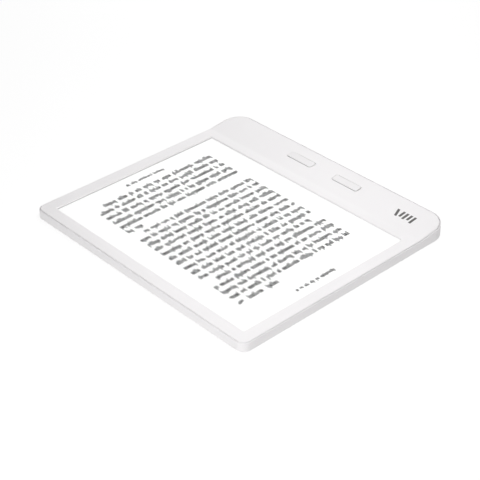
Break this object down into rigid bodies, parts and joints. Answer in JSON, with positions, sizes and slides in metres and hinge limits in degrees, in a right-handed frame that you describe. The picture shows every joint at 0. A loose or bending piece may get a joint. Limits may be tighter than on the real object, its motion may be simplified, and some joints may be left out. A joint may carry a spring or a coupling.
{
  "type": "e-reader",
  "caption": "Slim e-reader with a recessed page window, a raised side grip that carries two page-turn buttons, and a power button on the back.",
  "frame": {"origin": "centre of the case's footprint, on the flat back face", "axes": "+X across the page towards the grip, +Y along the page to its head, +Z out of the page"},
  "size_m": [0.144, 0.159, 0.0078],
  "materials": {
    "white_shell": "fine-grained moulded polycarbonate ABS, matte",
    "button_cap": "moulded ABS, fine matte",
    "page_film": "anti-glare coated touch film over a white page",
    "light_guide": "clear moulded acrylic",
    "panel": "electrophoretic laminate on its backplane",
    "foam": "closed-cell foam tape",
    "adhesive": "die-cut bonding film",
    "frame": "die-cast magnesium, bead blasted",
    "pouch": "aluminium laminate pouch, satin",
    "board": "glass-fibre board under green solder mask",
    "chip": "moulded epoxy",
    "connector": "moulded liquid-crystal polymer",
    "flex": "polyimide flat cable",
    "tin_plate": "tin-plated sheet steel",
    "steel": "zinc-plated or stainless steel",
    "magnet": "nickel-plated magnet",
    "silicone": "moulded silicone",
    "wire": "insulated lead",
    "light_pipe": "frosted clear polycarbonate"
  },
  "bodies": {
    "case": {"front_bezel": "white_shell", "rear_cover": "white_shell", "perimeter_adhesive": "adhesive", "cover_magnet_1": "magnet", "cover_magnet_2": "magnet", "display_gasket": "foam", "touch_film": "page_film", "light_guide": "light_guide", "light_strip": "flex", "eink_panel": "panel", "panel_tape": "foam", "mid_frame": "frame", "battery": "pouch", "battery_pad": "adhesive", "battery_lead": "wire", "battery_connector": "connector", "main_board": "board", "processor": "chip", "processor_shield": "tin_plate", "memory_chip": "chip", "storage_chip": "chip", "power_chip": "chip", "hall_sensor": "chip", "wifi_module": "tin_plate", "wifi_antenna": "flex", "antenna_lead": "wire", "usb_receptacle": "steel", "usb_seal": "silicone", "display_connector": "connector", "display_flex": "flex", "touch_connector": "connector", "touch_flex": "flex", "light_connector": "connector", "button_connector": "connector", "button_flex": "flex", "button_board": "board", "power_board": "board", "power_flex": "flex", "power_switch": "steel", "power_seal": "silicone", "status_light_pipe": "light_pipe", "status_lamp": "connector", "upper_page_seal": "silicone", "upper_page_switch": "steel", "lower_page_seal": "silicone", "lower_page_switch": "steel", "frame_screw_1": "steel", "board_screw_1": "steel", "frame_screw_2": "steel", "board_screw_2": "steel", "frame_screw_3": "steel", "board_screw_3": "steel", "frame_screw_4": "steel", "board_screw_4": "steel", "button_screw_1": "steel", "button_screw_2": "steel"},
    "upper_page_key": {"upper_page_button": "button_cap"},
    "lower_page_key": {"lower_page_button": "button_cap"},
    "power_key": {"power_button": "button_cap"}
  },
  "joints": [
    {"name": "upper_page_press", "type": "slide", "parent": "case", "child": "upper_page_key", "axis": [0.1163, 0, -0.9932], "range_m": [0, 0.0004], "stiffness_N_per_m": 3000},
    {"name": "lower_page_press", "type": "slide", "parent": "case", "child": "lower_page_key", "axis": [0.1163, 0, -0.9932], "range_m": [0, 0.0004], "stiffness_N_per_m": 3000},
    {"name": "power_press", "type": "slide", "parent": "case", "child": "power_key", "axis": [0, 0, 1], "range_m": [0, 0.0004], "stiffness_N_per_m": 3000}
  ]
}
